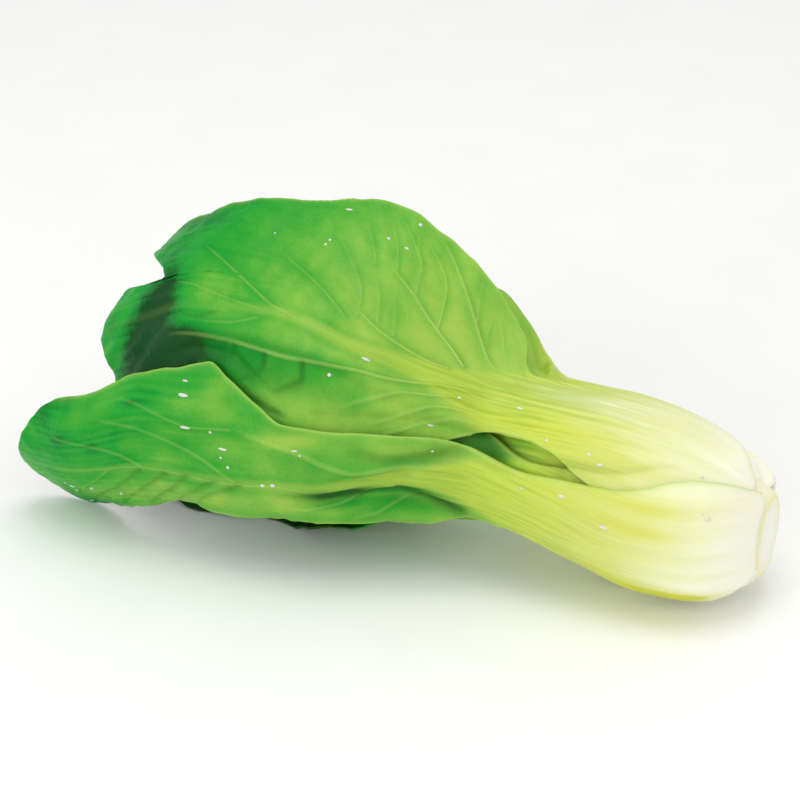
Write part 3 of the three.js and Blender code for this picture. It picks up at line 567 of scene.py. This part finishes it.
def leafRelief(leaf, h, across, v, halfWidth):
    # height of the outer face over the smooth form, and the fields that the finish reads
    seed = leaf["seed"]
    ribStations, ribMiddles, ribHalves = zip(*leaf.get("rib", plainRib))
    ribMiddle, ribHalf = np.interp(h, ribStations, ribMiddles), np.interp(h, ribStations, ribHalves)
    ribbon = lineAt(leaf.get("ribbon", relief["ribbon"]), h)
    fromRib = np.abs(across - ribMiddle)
    blade = smooth((fromRib - ribHalf) / (1.2 + 0.45 * ribHalf)) * ramp(h, leaf.get("bladeFrom", 57), 20)
    blade = 1 - (1 - blade) * ribbon
    ridge = np.exp(-((fromRib / (ribHalf + 0.4)) ** 2))
    height = ridge * lineAt(relief["rib"], h) * ribbon
    vein = ridge * ramp(h, 70, 20) * 0.8 * ribbon
    # painted shade in the grooves along both sides of the midrib
    paintedVeinShade = 0.8 * np.exp(-(((fromRib - ribHalf) / 2) ** 2)) * ramp(h, 84, 20) * ribbon
    nearest = fromRib
    lineGap, lineShare = np.full(h.shape, 9.0), np.zeros(h.shape)
    # painted shade in folds, from spots and from the grooves below
    paintedShade = spotSum(leaf, "paintedShadeSpots", h, across)
    for rise, width, paleness, points in leaf.get("veins") or sideVeins(leaf):
        distance, along = lineDistance(h, across, rounded(points))
        shrink = 1 - 0.55 * along
        fade = np.minimum(1, 8 * (1 - along)) * shrink * ramp(h, 74, 14)
        profile = np.exp(-((distance / (width * (0.6 + 0.4 * shrink))) ** 2)) * fade
        height = height + relief["veinGain"] * rise * profile
        halo = np.exp(-((distance / (width + relief["halo"])) ** 2)) * fade
        if paleness > 0:
            closer = distance / width < lineGap
            lineShare = np.where(closer, paleness * fade, lineShare)
            lineGap = np.where(closer, distance / width, lineGap)
            # painted shade beside each paler vein
            paintedVeinShade = np.maximum(paintedVeinShade, 0.6 * paleness * halo)
            nearest = np.minimum(nearest, distance)
        else:
            # a groove: painted shade along it
            paintedShade = np.maximum(paintedShade, -paleness * (0.7 * profile + 0.3 * halo))
    pillow = 1 - np.exp(-((nearest / relief["pillowReach"]) ** 2))
    lumps = 0
    for size, share, step in relief["lumpKinds"]:
        lumps = lumps + share * softNoise(h, across, size, seed + step)
    height = height + blade * (pillow * relief["lumps"] * lumps + relief["pillow"] * pillow)
    strand = softNoise(0.05 * h, v * relief["strands"], 1.5, seed + 4)
    height = height + (1 - blade) * relief["ridge"] * strand * ramp(h, 24, 44)
    streaks = softNoise(0.07 * h, across, 1.6, seed + 8) * ramp(h, 120, 60)
    # the green deepens towards the tip and the margin; beside the veins the deeper green is painted shade
    greenToneAndShade = leaf.get("green", 0) + 0.75 * ramp(h, 80, 110) + 0.2 * np.abs(v) ** 3
    greenToneAndShade = greenToneAndShade + 0.06 * softNoise(h, across, 16, seed + 6) + 0.04 * softNoise(h, across, 6, seed + 7)
    greenToneAndShade = greenToneAndShade + leaf.get("streaks", 0.04) * streaks + 0.45 * paintedVeinShade - 0.06 * pillow
    fields = {
        "blade": blade, "vein": vein, "lineGap": lineGap, "lineShare": lineShare, "paintedShade": paintedShade,
        # the spot list here sets the leaf's own tone of green and paints shade
        "greenToneAndShade": greenToneAndShade + spotSum(leaf, "toneAndPaintedShade", h, across),
        "warm": np.clip(spotSum(leaf, "warm", h, across) * (0.8 + 0.5 * strand), 0, 1),
        # this field also carries cream spots and a painted highlight strip on the stalk
        "strand": strand + 3 * spotSum(leaf, "creamAndPaintedHighlight", h, across),
        "margin": leaf.get("paleEdge", 1) * np.exp(-((1 - np.abs(v)) * halfWidth / relief["margin"])),
    }
    return height, fields


def makePiece(name, points, faces, fields, material):
    mesh = bpy.data.meshes.new(name)
    mesh.vertices.add(len(points))
    mesh.vertices.foreach_set("co", (points * mm).astype(np.float32).ravel())
    sizes = np.concatenate([np.full(len(face), face.shape[1]) for face in faces])
    corners = np.concatenate([face.ravel() for face in faces]).astype(np.int32)
    starts = np.concatenate([[0], np.cumsum(sizes)[:-1]]).astype(np.int32)
    mesh.loops.add(len(corners))
    mesh.loops.foreach_set("vertex_index", corners)
    mesh.polygons.add(len(sizes))
    mesh.polygons.foreach_set("loop_start", starts)
    mesh.update(calc_edges=True)
    mesh.validate()
    mesh.polygons.foreach_set("use_smooth", np.ones(len(mesh.polygons), bool))
    for field, values in fields.items():
        kind = "FLOAT_VECTOR" if values.ndim == 2 else "FLOAT"
        attribute = mesh.attributes.new(field, kind, "POINT")
        attribute.data.foreach_set("vector" if values.ndim == 2 else "value",
                                   values.astype(np.float32).ravel())
    mesh.materials.append(material)
    piece = bpy.data.objects.new(name, mesh)
    bpy.context.scene.collection.objects.link(piece)
    return piece


def wrapFaces(index):
    # quads round a tube of points, one row of points for each ring
    after = np.roll(index, -1, axis=1)
    return np.stack([index[:-1], index[1:], after[1:], after[:-1]], -1).reshape(-1, 4)


def surfaceNormal(point, angle):
    normal = np.cross(np.gradient(point, axis=1), np.gradient(point, axis=0))
    normal /= np.maximum(np.linalg.norm(normal, axis=-1, keepdims=True), 1e-9)
    outward = np.stack([0 * angle, -np.sin(angle), np.cos(angle)], -1)
    return normal, np.sign(np.sum(normal * outward))


surfaces = {}


def makeLeaf(name, leaf, kind, material):
    rows, columns = leaf.get("grid", (240, 121))
    begin = leaf.get("fineStart", leaf["start"])
    row = np.linspace(begin, leaf["tip"], rows)[:, None]
    v = np.linspace(-1, 1, columns)[None, :]
    row, v = np.broadcast_arrays(row, v)
    reach = leaf.get("cutReach", 2.6 * leaf["tipRound"])
    cut = leaf["tipRound"] * (1 - np.sqrt(np.maximum(1 - v * v, 0)))
    if "endCut" in leaf:
        cut = lineAt(leaf["endCut"], v)
    h = row - cut * ramp(row, leaf["tip"] - reach, reach)
    if "startCut" in leaf:
        h = h + lineAt(leaf["startCut"], v) * (1 - ramp(row, begin, 12))
    angle, radius, across, halfWidth = freeForm(leaf, h, v, True)
    room = coverAt(kind, h, angle) - radius
    radius = held(kind, h, angle, radius)
    smoothPoint = place(h, angle, radius)
    normal, facing = surfaceNormal(smoothPoint, angle)
    outward = normal * facing
    height, fields = leafRelief(leaf, h, across, v, halfWidth)
    height = height * np.clip(room / 3, 0.15, 1)
    thick = leafThickness(leaf, h, across, halfWidth, flesh["fineEdge"])
    thick = np.minimum(thick, stemRoom(h, radius))
    inwardShare = 0.6 * fields["blade"]
    outer = smoothPoint + outward * height[..., None]
    inner = smoothPoint + outward * (height * inwardShare - thick)[..., None]
    lowest = 0.05
    outer[..., 2] = np.maximum(outer[..., 2], lowest)
    inner[..., 2] = np.maximum(inner[..., 2], lowest)

    index = np.arange(rows * columns).reshape(rows, columns)
    rim = np.concatenate([index[0, :], index[1:, -1], index[-1, -2::-1], index[-2:0:-1, 0]])
    nextInside = index[np.clip(rim // columns, 1, rows - 2), np.clip(rim % columns, 1, columns - 2)]
    flatOuter, flatInner = outer.reshape(-1, 3), inner.reshape(-1, 3)
    away = flatOuter[rim] - flatOuter[nextInside]
    away /= np.maximum(np.linalg.norm(away, axis=1, keepdims=True), 1e-9)
    depth = np.linalg.norm(flatOuter[rim] - flatInner[rim], axis=1, keepdims=True)
    middle = (flatOuter[rim] + flatInner[rim]) / 2 + away * np.minimum(0.4 * depth, 0.9)
    middle[:, 2] = np.maximum(middle[:, 2], lowest)
    points = np.concatenate([flatOuter, flatInner, middle])

    count = rows * columns
    a, b = index[:-1, :-1].ravel(), index[:-1, 1:].ravel()
    c, d = index[1:, 1:].ravel(), index[1:, :-1].ravel()
    onRim = np.arange(len(rim)) + 2 * count
    start, end = rim, np.roll(rim, -1)
    midStart, midEnd = onRim, np.roll(onRim, -1)
    faces = [
        np.stack([a, b, c, d], 1),
        np.stack([a, d, c, b], 1) + count,
        np.stack([end, start, midStart, midEnd], 1),
        np.stack([midEnd, midStart, start + count, end + count], 1),
    ]
    if facing < 0:
        faces = [face[:, ::-1] for face in faces]
    fields["station"] = h / 220
    fields["leafPlace"] = np.stack([h, across, np.full(h.shape, 40.0 * leaf["seed"])], -1)
    everywhere = {"inside": np.concatenate([np.zeros(count), np.ones(count), np.full(len(rim), 0.5)])}
    for field, values in fields.items():
        flat = values.reshape(count, -1).squeeze()
        everywhere[field] = np.concatenate([flat, flat, flat[rim]])
    piece = makePiece("fine_" + name, points, faces, everywhere, material)
    surfaces[name] = (h, across, outer, outward)
    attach(piece, "root")
    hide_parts(name)


def toLinear(code):
    channels = [int(code[i:i + 2], 16) / 255 for i in (1, 3, 5)]
    return [c / 12.92 if c <= 0.04045 else ((c + 0.055) / 1.055) ** 2.4 for c in channels] + [1]


def newMaterial(name):
    material = bpy.data.materials.new(name)
    material.use_nodes = True
    material.node_tree.nodes.clear()
    return material, material.node_tree


def addNode(tree, kind, settings=None, links=None, stops=None, out=0):
    # adds a node with its settings and links, and gives back one of its outputs
    node = tree.nodes.new(kind)
    for key, value in (settings or {}).items():
        if isinstance(key, str) and hasattr(node, key):
            setattr(node, key, value)
        else:
            node.inputs[key].default_value = value
    for key, source in (links or {}).items():
        if source is not None:
            tree.links.new(source, node.inputs[key])
    if stops:
        elements = node.color_ramp.elements
        while len(elements) < len(stops):
            elements.new(0.5)
        for element, (position, code) in zip(elements, stops):
            element.position, element.color = position, toLinear(code)
    return node.outputs[out] if node.outputs else None


# each finish has one colour that is painted shade, mixed into folds and grooves
leafFinish = {
    "outer": {
        "stalk": [(0.03, "#fcfce6"), (0.09, "#eff2c6"), (0.18, "#d7df83"), (0.27, "#c9d85c"),
                  (0.34, "#bbd04e"), (0.48, "#a4c648")],
        "blade": [(0.0, "#9cc44c"), (0.28, "#70b43e"), (0.5, "#3fa42e"), (0.74, "#0d982c"),
                  (0.88, "#017a26"), (1.0, "#004412")],
        "warm": "#d4d636", "fibre": "#84ad28", "vein": "#b7d36c", "paintedShade": "#17560f", "margin": "#b9d368",
    },
    # the inner leaves are darker green than the outer ones: partly their own colour, partly painted shade
    # for where they show far inside the gap between the front leaves
    "inner": {
        "stalk": [(0.03, "#f4f4d6"), (0.13, "#eef2a2"), (0.21, "#e2ee70"), (0.27, "#cfe850"),
                  (0.32, "#9bce3c"), (0.39, "#5ea834")],
        "blade": [(0.0, "#519b34"), (0.3, "#3d8d2e"), (0.55, "#2f8c30"), (0.8, "#208432"), (1.0, "#10622a")],
        "warm": "#dfe26a", "fibre": "#7fae30", "vein": "#cadd7e", "paintedShade": "#2a6a20", "margin": "#bdd66a",
    },
    "heart": {
        "stalk": [(0.03, "#f6f6dc"), (0.14, "#eef0c2"), (0.25, "#e0e79c"), (0.35, "#d0de7c"),
                  (0.42, "#c2d769"), (0.5, "#b5d15a")],
        "blade": [(0.0, "#c2d969"), (0.3, "#a9cf58"), (0.55, "#8dc24c"), (0.8, "#6eb243"), (1.0, "#4f9f3c")],
        "warm": "#e6e88c", "fibre": "#b3ca66", "vein": "#dbe695", "paintedShade": "#7fa544", "margin": "#cfdf80",
    },
}
leafSurface = {
    "roughStalk": 0.28,
    "roughBlade": 0.36,
    "mottleSize": 7,  # mm, as are the other sizes and depths
    "netSize": 1.7,
    "netSwirl": 5.0,
    "grainSize": 0.45,
    "fibreSize": 1.2,
    "fibreLength": 20,
    "lineDepth": 0.6,
    "netDepth": 0.14,
    "grainDepth": 0.06,
    "fibreDepth": 0.12,
}


def waxyLeaf(name, colours):
    # a fresh wet leaf: a thin wax layer gives soft broad highlights, and light passes a little way in
    material, tree = newMaterial(name)
    surface = leafSurface
    field = {}
    for key in ("station", "blade", "vein", "greenToneAndShade", "margin", "inside", "strand", "lineGap", "lineShare",
                "warm", "paintedShade"):
        field[key] = addNode(tree, "ShaderNodeAttribute", {"attribute_name": key}, out="Fac")
    where = addNode(tree, "ShaderNodeAttribute", {"attribute_name": "leafPlace"}, out="Vector")
    mottle = addNode(tree, "ShaderNodeTexNoise",
                     {"Scale": 1 / surface["mottleSize"], "Detail": 6.0, "Roughness": 0.68},
                     {"Vector": where})
    grain = addNode(tree, "ShaderNodeTexNoise", {"Scale": 1 / surface["grainSize"], "Detail": 2.0},
                    {"Vector": where})
    stretch = addNode(tree, "ShaderNodeMapping",
                      {"Scale": (1 / surface["fibreLength"], 1 / surface["fibreSize"], 1)},
                      {"Vector": where})
    fibre = addNode(tree, "ShaderNodeTexNoise", {"Scale": 1.0, "Detail": 3.0}, {"Vector": stretch})
    # the finest veins are a net of bent cells
    swirl = addNode(tree, "ShaderNodeVectorMath", {"operation": "SCALE", "Scale": surface["netSwirl"]},
                    {0: mottle.node.outputs["Color"]})
    bent = addNode(tree, "ShaderNodeVectorMath", {"operation": "ADD"}, {0: where, 1: swirl})
    cells = addNode(tree, "ShaderNodeTexVoronoi",
                    {"feature": "DISTANCE_TO_EDGE", "Scale": 1 / surface["netSize"], "Randomness": 1.0},
                    {"Vector": bent})
    net = addNode(tree, "ShaderNodeMapRange", {"From Max": 0.16, "To Min": 1.0, "To Max": 0.0},
                  {"Value": cells})
    # stalk: cream at the base, lime at the neck, with faint strands; the same field pushes the stalk towards
    # cream for the painted highlight strip
    groove = addNode(tree, "ShaderNodeMath", {"operation": "MULTIPLY_ADD", 1: -0.025, 2: -0.03},
                     {0: field["strand"]})
    streak = addNode(tree, "ShaderNodeMath", {"operation": "MULTIPLY_ADD", 1: 0.06}, {0: fibre, 2: groove})
    stalkAt = addNode(tree, "ShaderNodeMath", {"operation": "ADD"}, {0: field["station"], 1: streak})
    stalk = addNode(tree, "ShaderNodeValToRGB", {}, {"Fac": stalkAt}, colours["stalk"])
    # towards the neck darker green fibres run along the stalk
    bundle = addNode(tree, "ShaderNodeMath", {"operation": "MULTIPLY_ADD", 1: 0.07},
                     {0: field["strand"], 2: fibre})
    bundleShare = addNode(tree, "ShaderNodeMapRange", {"From Min": 0.47, "From Max": 0.72, "To Max": 0.54},
                          {"Value": bundle})
    towardsNeck = addNode(tree, "ShaderNodeMapRange", {"From Min": 0.13, "From Max": 0.33},
                          {"Value": field["station"]})
    fibreShare = addNode(tree, "ShaderNodeMath", {"operation": "MULTIPLY"}, {0: bundleShare, 1: towardsNeck})
    for key, share in (("warm", field["warm"]), ("fibre", fibreShare)):
        stalk = addNode(tree, "ShaderNodeMix", {"data_type": "RGBA", 7: toLinear(colours[key])},
                        {0: share, 6: stalk}, out=2)
    # blade: yellow green by the stalk, deeper towards tip and margin, mottled, and darker where painted
    # shade is added to the green
    mottled = addNode(tree, "ShaderNodeMath", {"operation": "MULTIPLY_ADD", 1: 0.22, 2: -0.1}, {0: mottle})
    netted = addNode(tree, "ShaderNodeMath", {"operation": "MULTIPLY_ADD", 1: -0.05}, {0: net, 2: mottled})
    bladeAt = addNode(tree, "ShaderNodeMath", {"operation": "ADD"}, {0: field["greenToneAndShade"], 1: netted})
    insideAt = addNode(tree, "ShaderNodeMath", {"operation": "MULTIPLY_ADD", 1: 0.12},
                       {0: field["inside"], 2: bladeAt})
    blade = addNode(tree, "ShaderNodeValToRGB", {}, {"Fac": insideAt}, colours["blade"])
    colour = addNode(tree, "ShaderNodeMix", {"data_type": "RGBA"},
                     {0: field["blade"], 6: stalk, 7: blade}, out=2)
    # side veins are crisp pale lines, from the distance to the nearest one
    profile = addNode(tree, "ShaderNodeMapRange",
                      {"interpolation_type": "SMOOTHSTEP", "From Min": 0.1, "From Max": 0.85, "To Min": 1.0,
                       "To Max": 0.0}, {"Value": field["lineGap"]})
    line = addNode(tree, "ShaderNodeMath", {"operation": "MULTIPLY"}, {0: profile, 1: field["lineShare"]})
    veins = addNode(tree, "ShaderNodeMath", {"operation": "MULTIPLY_ADD", 1: 0.8, "use_clamp": True},
                    {0: line, 2: field["vein"]})
    veinShare = addNode(tree, "ShaderNodeMath", {"operation": "MULTIPLY"}, {0: veins, 1: field["blade"]})
    marginShare = addNode(tree, "ShaderNodeMath", {"operation": "MULTIPLY", 1: 0.55}, {0: field["margin"]})
    # paler veins, painted shade in folds and grooves, and the light margin are mixed over the colour
    for key, share in (("vein", veinShare), ("paintedShade", field["paintedShade"]), ("margin", marginShare)):
        colour = addNode(tree, "ShaderNodeMix", {"data_type": "RGBA", 7: toLinear(colours[key])},
                         {0: share, 6: colour}, out=2)
    # roughness: the wet stalk shines more than the blade
    roughBase = addNode(tree, "ShaderNodeMapRange",
                        {"To Min": surface["roughStalk"], "To Max": surface["roughBlade"]},
                        {"Value": field["blade"]})
    rough = addNode(tree, "ShaderNodeMath", {"operation": "MULTIPLY_ADD", 1: 0.16},
                    {0: mottle, 2: roughBase})
    # bump: veins, net and grain on the blade, strands on the stalk
    netOnBlade = addNode(tree, "ShaderNodeMath", {"operation": "MULTIPLY"}, {0: net, 1: field["blade"]})
    normal = None
    for height, strength, depth in ((line, 0.8, "lineDepth"), (netOnBlade, 0.3, "netDepth"),
                                    (grain, 0.25, "grainDepth"), (fibre, 0.2, "fibreDepth")):
        normal = addNode(tree, "ShaderNodeBump", {"Strength": strength, "Distance": surface[depth] * mm},
                         {"Height": height, "Normal": normal})
    skin = addNode(tree, "ShaderNodeBsdfPrincipled",
                   {"IOR": 1.42, "Subsurface Weight": 0.18, "Subsurface Radius": (0.6, 1.0, 0.25),
                    "Subsurface Scale": 0.0025, "Coat Weight": 0.05, "Coat Roughness": 0.18,
                    "Specular IOR Level": 0.15},
                   {"Base Color": colour, "Roughness": rough, "Normal": normal})
    addNode(tree, "ShaderNodeOutputMaterial", {}, {"Surface": skin})
    return material


def cutStem():
    # moist cream flesh: pale in the middle, a yellow ring just inside the skin
    material, tree = newMaterial("moistCutStem")
    ring = addNode(tree, "ShaderNodeAttribute", {"attribute_name": "ring"}, out="Fac")
    where = addNode(tree, "ShaderNodeAttribute", {"attribute_name": "stemPlace"}, out="Vector")
    mottle = addNode(tree, "ShaderNodeTexNoise", {"Scale": 1 / 2.2, "Detail": 4.0}, {"Vector": where})
    fleck = addNode(tree, "ShaderNodeTexNoise", {"Scale": 1 / 0.5, "Detail": 2.0}, {"Vector": where})
    shift = addNode(tree, "ShaderNodeMath", {"operation": "MULTIPLY_ADD", 1: 0.12, 2: -0.06}, {0: mottle})
    at = addNode(tree, "ShaderNodeMath", {"operation": "ADD"}, {0: ring, 1: shift})
    colour = addNode(tree, "ShaderNodeValToRGB", {}, {"Fac": at},
                     [(0.0, "#ffffee"), (0.58, "#fafbe8"), (0.78, "#f5f5ca"), (0.86, "#efed9a"),
                      (0.93, "#f4f2b8"), (1.0, "#faf8d8")])
    bump = addNode(tree, "ShaderNodeBump", {"Strength": 0.4, "Distance": 0.0002}, {"Height": fleck})
    rough = addNode(tree, "ShaderNodeMapRange", {"To Min": 0.34, "To Max": 0.55}, {"Value": mottle})
    inside = addNode(tree, "ShaderNodeBsdfPrincipled",
                     {"IOR": 1.4, "Subsurface Weight": 0.3, "Subsurface Radius": (1.0, 0.9, 0.5),
                      "Subsurface Scale": 0.003, "Coat Weight": 0.2, "Coat Roughness": 0.2},
                     {"Base Color": colour, "Roughness": rough, "Normal": bump})
    addNode(tree, "ShaderNodeOutputMaterial", {}, {"Surface": inside})
    return material


def glintWhiteWater():
    # water drops: a white base colour, partly clear, is a painted highlight that makes them read as bright
    # glints; they also catch small sharp highlights
    material, tree = newMaterial("glintWhiteWater")
    where = addNode(tree, "ShaderNodeTexCoord", out="Object")
    ripple = addNode(tree, "ShaderNodeTexNoise", {"Scale": 400.0, "Detail": 1.0}, {"Vector": where})
    bump = addNode(tree, "ShaderNodeBump", {"Strength": 0.05, "Distance": 0.0001}, {"Height": ripple})
    water = addNode(tree, "ShaderNodeBsdfPrincipled",
                    {"Base Color": toLinear("#ffffff"), "IOR": 1.33, "Transmission Weight": 0.35,
                     "Roughness": 0.04, "Specular IOR Level": 1.0}, {"Normal": bump})
    addNode(tree, "ShaderNodeOutputMaterial", {}, {"Surface": water})
    return material


stemShape = {
    "sides": 120,
    "faceRows": 14,
    "barkRows": 46,
    "faceRadius": 11.2,
    "swell": 1.5,  # mm, so that the stem meets the leaf bases
}


def makeStem(material):
    sides = stemShape["sides"]
    turn = np.arange(sides) * 2 * math.pi / sides
    uneven = 1 + 0.02 * np.sin(3 * turn + 0.6) + 0.012 * np.sin(7 * turn + 2)
    rows = []  # station, radius and place in the ring pattern
    for share in np.linspace(0.04, 0.94, stemShape["faceRows"]):
        dish = 0.25 * (1 - share ** 2) + 0.12 * math.exp(-(((share - 0.8) / 0.06) ** 2))
        rows.append((0.35 - dish, share * stemShape["faceRadius"], share * 0.86))
    for h in np.linspace(0.45, head["stemEnd"], stemShape["barkRows"]):
        swell = stemShape["swell"] * ramp(h, -1.5, 3) * (1 - ramp(h, 5, 4))
        rows.append((h, float(curveAt(head["stemRadius"], h)) + swell, 1 - 0.1 * math.exp(-h / 0.8)))
    points, ring = [], []
    for h, radius, share in rows:
        y = head["axisY"] - np.sin(turn) * radius * uneven
        z = curveAt(head["axisHeight"], h) + np.cos(turn) * radius * uneven
        points.append(np.stack([np.full(sides, head["baseX"] - h), y, z], -1))
        ring.append(np.full(sides, share))
    for h, share in ((0.1, 0.0), (head["stemEnd"], 1.0)):
        points.append([[head["baseX"] - h, head["axisY"], float(curveAt(head["axisHeight"], h))]])
        ring.append([share])
    points, ring = np.concatenate(points), np.concatenate(ring)
    front, back = len(points) - 2, len(points) - 1
    index = np.arange(front).reshape(-1, sides)
    after = np.roll(index, -1, axis=1)
    capFront = np.stack([np.full(sides, front), index[0], after[0]], 1)
    capBack = np.stack([np.full(sides, back), after[-1], index[-1]], 1)
    piece = makePiece("fine_stem_base", points, [wrapFaces(index), capFront, capBack],
                      {"ring": ring, "stemPlace": points}, material)
    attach(piece, "root")
    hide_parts("stem_base")


drops = {
    "sides": 14,
    "rows": 6,
    "flat": 0.5,  # height over width
    "places": {  # station and across on each leaf
        "leaf_upper_front": [
            (125, -35.8), (111, -2.4), (131, 41), (133, 27), (132, 29), (148.6, 27), (111.6, 45),
            (112, 35.7), (117.4, 36), (120, -32.6), (118.4, -11.3), (47, -8.8), (43.5, -10.8),
            (60, -7.5), (86.7, -2.1), (92.5, -12.4), (17, -5), (70, 0.3),
        ],
        "leaf_front": [
            (159, 27), (158.9, 31), (157.3, 17.5), (150.3, 15.9), (146.6, 10.8), (147.7, 7.9),
            (145, 5.2), (204, -5.4), (202.4, -7.9), (202.4, -11.2), (197.5, -7.2), (194, -6.6),
            (183.6, -10), (201, -21), (124, 9.9), (125.7, 11.5), (135, -0.1), (132, 0), (90.8, 10.3),
            (40, 9), (13.6, 17.5), (12.5, 15.8), (53, 11.6), (65, 8.3),
        ],
    },
}


def makeDrops(material):
    draw = np.random.default_rng(5)
    rows, sides = drops["rows"], drops["sides"]
    turn = np.arange(sides) * 2 * math.pi / sides
    points, faces = [], []
    for name, places in drops["places"].items():
        h, across, outer, outward = surfaces[name]
        for station, middle in places:
            nearest = np.unravel_index(np.argmin((h - station) ** 2 + (across - middle) ** 2), h.shape)
            centre, up = outer[nearest], outward[nearest]
            side = np.cross(up, [1, 0, 0])
            side /= np.linalg.norm(side)
            ahead = np.cross(side, up)
            size = draw.uniform(0.28, 0.6)
            long = draw.choice([1, 1.3, 2, 3.2])
            index = np.arange(rows * sides).reshape(rows, sides) + len(points) * sides
            for tilt in (np.arange(rows) + 0.5) / rows * math.pi:
                flat, rise = size * math.sin(tilt), size * drops["flat"] * math.cos(tilt)
                points.append(centre + up * rise + np.outer(np.cos(turn) * flat * long, ahead)
                              + np.outer(np.sin(turn) * flat, side))
            ends = [np.stack([np.full(sides - 2, cap[0]), cap[1:-1], cap[2:]], 1)
                    for cap in (index[0], index[-1][::-1])]
            faces += [wrapFaces(index), np.concatenate(ends)]
    piece = makePiece("water_drops", np.concatenate(points), faces, {}, material)
    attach(piece, "root")


finishes = {
    "outer_leaf": waxyLeaf("waxyOuterLeaf", leafFinish["outer"]),
    "inner_leaf": waxyLeaf("waxyInnerLeaf", leafFinish["inner"]),
    "heart_leaf": waxyLeaf("tenderHeartLeaf", leafFinish["heart"]),
}
for leafName, leafValues in leaves.items():
    coverKind = "outer" if leafValues["slot"] == "outer_leaf" else "inner"
    makeLeaf(leafName, leafValues, coverKind, finishes[leafValues["slot"]])
    addCover(leafValues, coverKind)
print("leaves made:", len(leaves))
makeStem(cutStem())
makeDrops(glintWhiteWater())
print("stem and drops made")


stage = {
    "floor": "#fcfcfb",
    "floorShade": "#fafaf9",
    "floorSize": 8.0,
    "world": 0.74,
    "lights": [((0.1, -0.1, 1.0), 0.6, 2.9), ((-0.5, -1.0, 0.5), 0.7, 3.3)],  # place, size and power
}
view = {"azimuth": 22, "elevation": 28, "distance": 0.8, "lens": 125, "aim": (-0.0015, 0.0011, 0.043)}


def makeFloor():
    half = stage["floorSize"] / 2
    mesh = bpy.data.meshes.new("floor")
    mesh.from_pydata([(-half, -half, 0), (half, -half, 0), (half, half, 0), (-half, half, 0)], [],
                     [(0, 1, 2, 3)])
    floor = bpy.data.objects.new("floor", mesh)
    floor.location.z = -0.0002
    bpy.context.scene.collection.objects.link(floor)
    # a matt white painted table, with clouds too faint to see as a pattern
    material, tree = newMaterial("paleTable")
    where = addNode(tree, "ShaderNodeTexCoord", out="Object")
    cloud = addNode(tree, "ShaderNodeTexNoise", {"Scale": 30.0, "Detail": 2.0}, {"Vector": where})
    tone = addNode(tree, "ShaderNodeValToRGB", {}, {"Fac": cloud},
                   [(0.3, stage["floorShade"]), (0.7, stage["floor"])])
    paint = addNode(tree, "ShaderNodeBsdfPrincipled", {"Roughness": 0.8, "Specular IOR Level": 0.2},
                    {"Base Color": tone})
    addNode(tree, "ShaderNodeOutputMaterial", {}, {"Surface": paint})
    mesh.materials.append(material)


def aimAt(thing, target):
    thing.rotation_euler = (Vector(target) - thing.location).to_track_quat("-Z", "Y").to_euler()


def lightScene():
    world = bpy.data.worlds.new("softStudio")
    world.use_nodes = True
    background = world.node_tree.nodes["Background"]
    background.inputs["Color"].default_value = (1, 1, 1, 1)
    background.inputs["Strength"].default_value = stage["world"]
    bpy.context.scene.world = world
    for i, (spot, size, power) in enumerate(stage["lights"]):
        light = bpy.data.lights.new(f"softLight{i + 1}", "AREA")
        light.size = size
        light.energy = power
        lamp = bpy.data.objects.new(f"softLight{i + 1}", light)
        lamp.location = spot
        bpy.context.scene.collection.objects.link(lamp)
        aimAt(lamp, (0, 0, 0.04))


def placeCamera():
    camera = bpy.data.objects.new("camera", bpy.data.cameras.new("camera"))
    camera.data.lens = view["lens"]
    around, up = math.radians(view["azimuth"]), math.radians(view["elevation"])
    away = Vector((math.sin(around) * math.cos(up), -math.cos(around) * math.cos(up), math.sin(up)))
    camera.location = Vector(view["aim"]) + away * view["distance"]
    bpy.context.scene.collection.objects.link(camera)
    aimAt(camera, view["aim"])
    bpy.context.scene.camera = camera


makeFloor()
lightScene()
placeCamera()
bpy.context.scene.view_settings.view_transform = "Standard"
print("stage set")
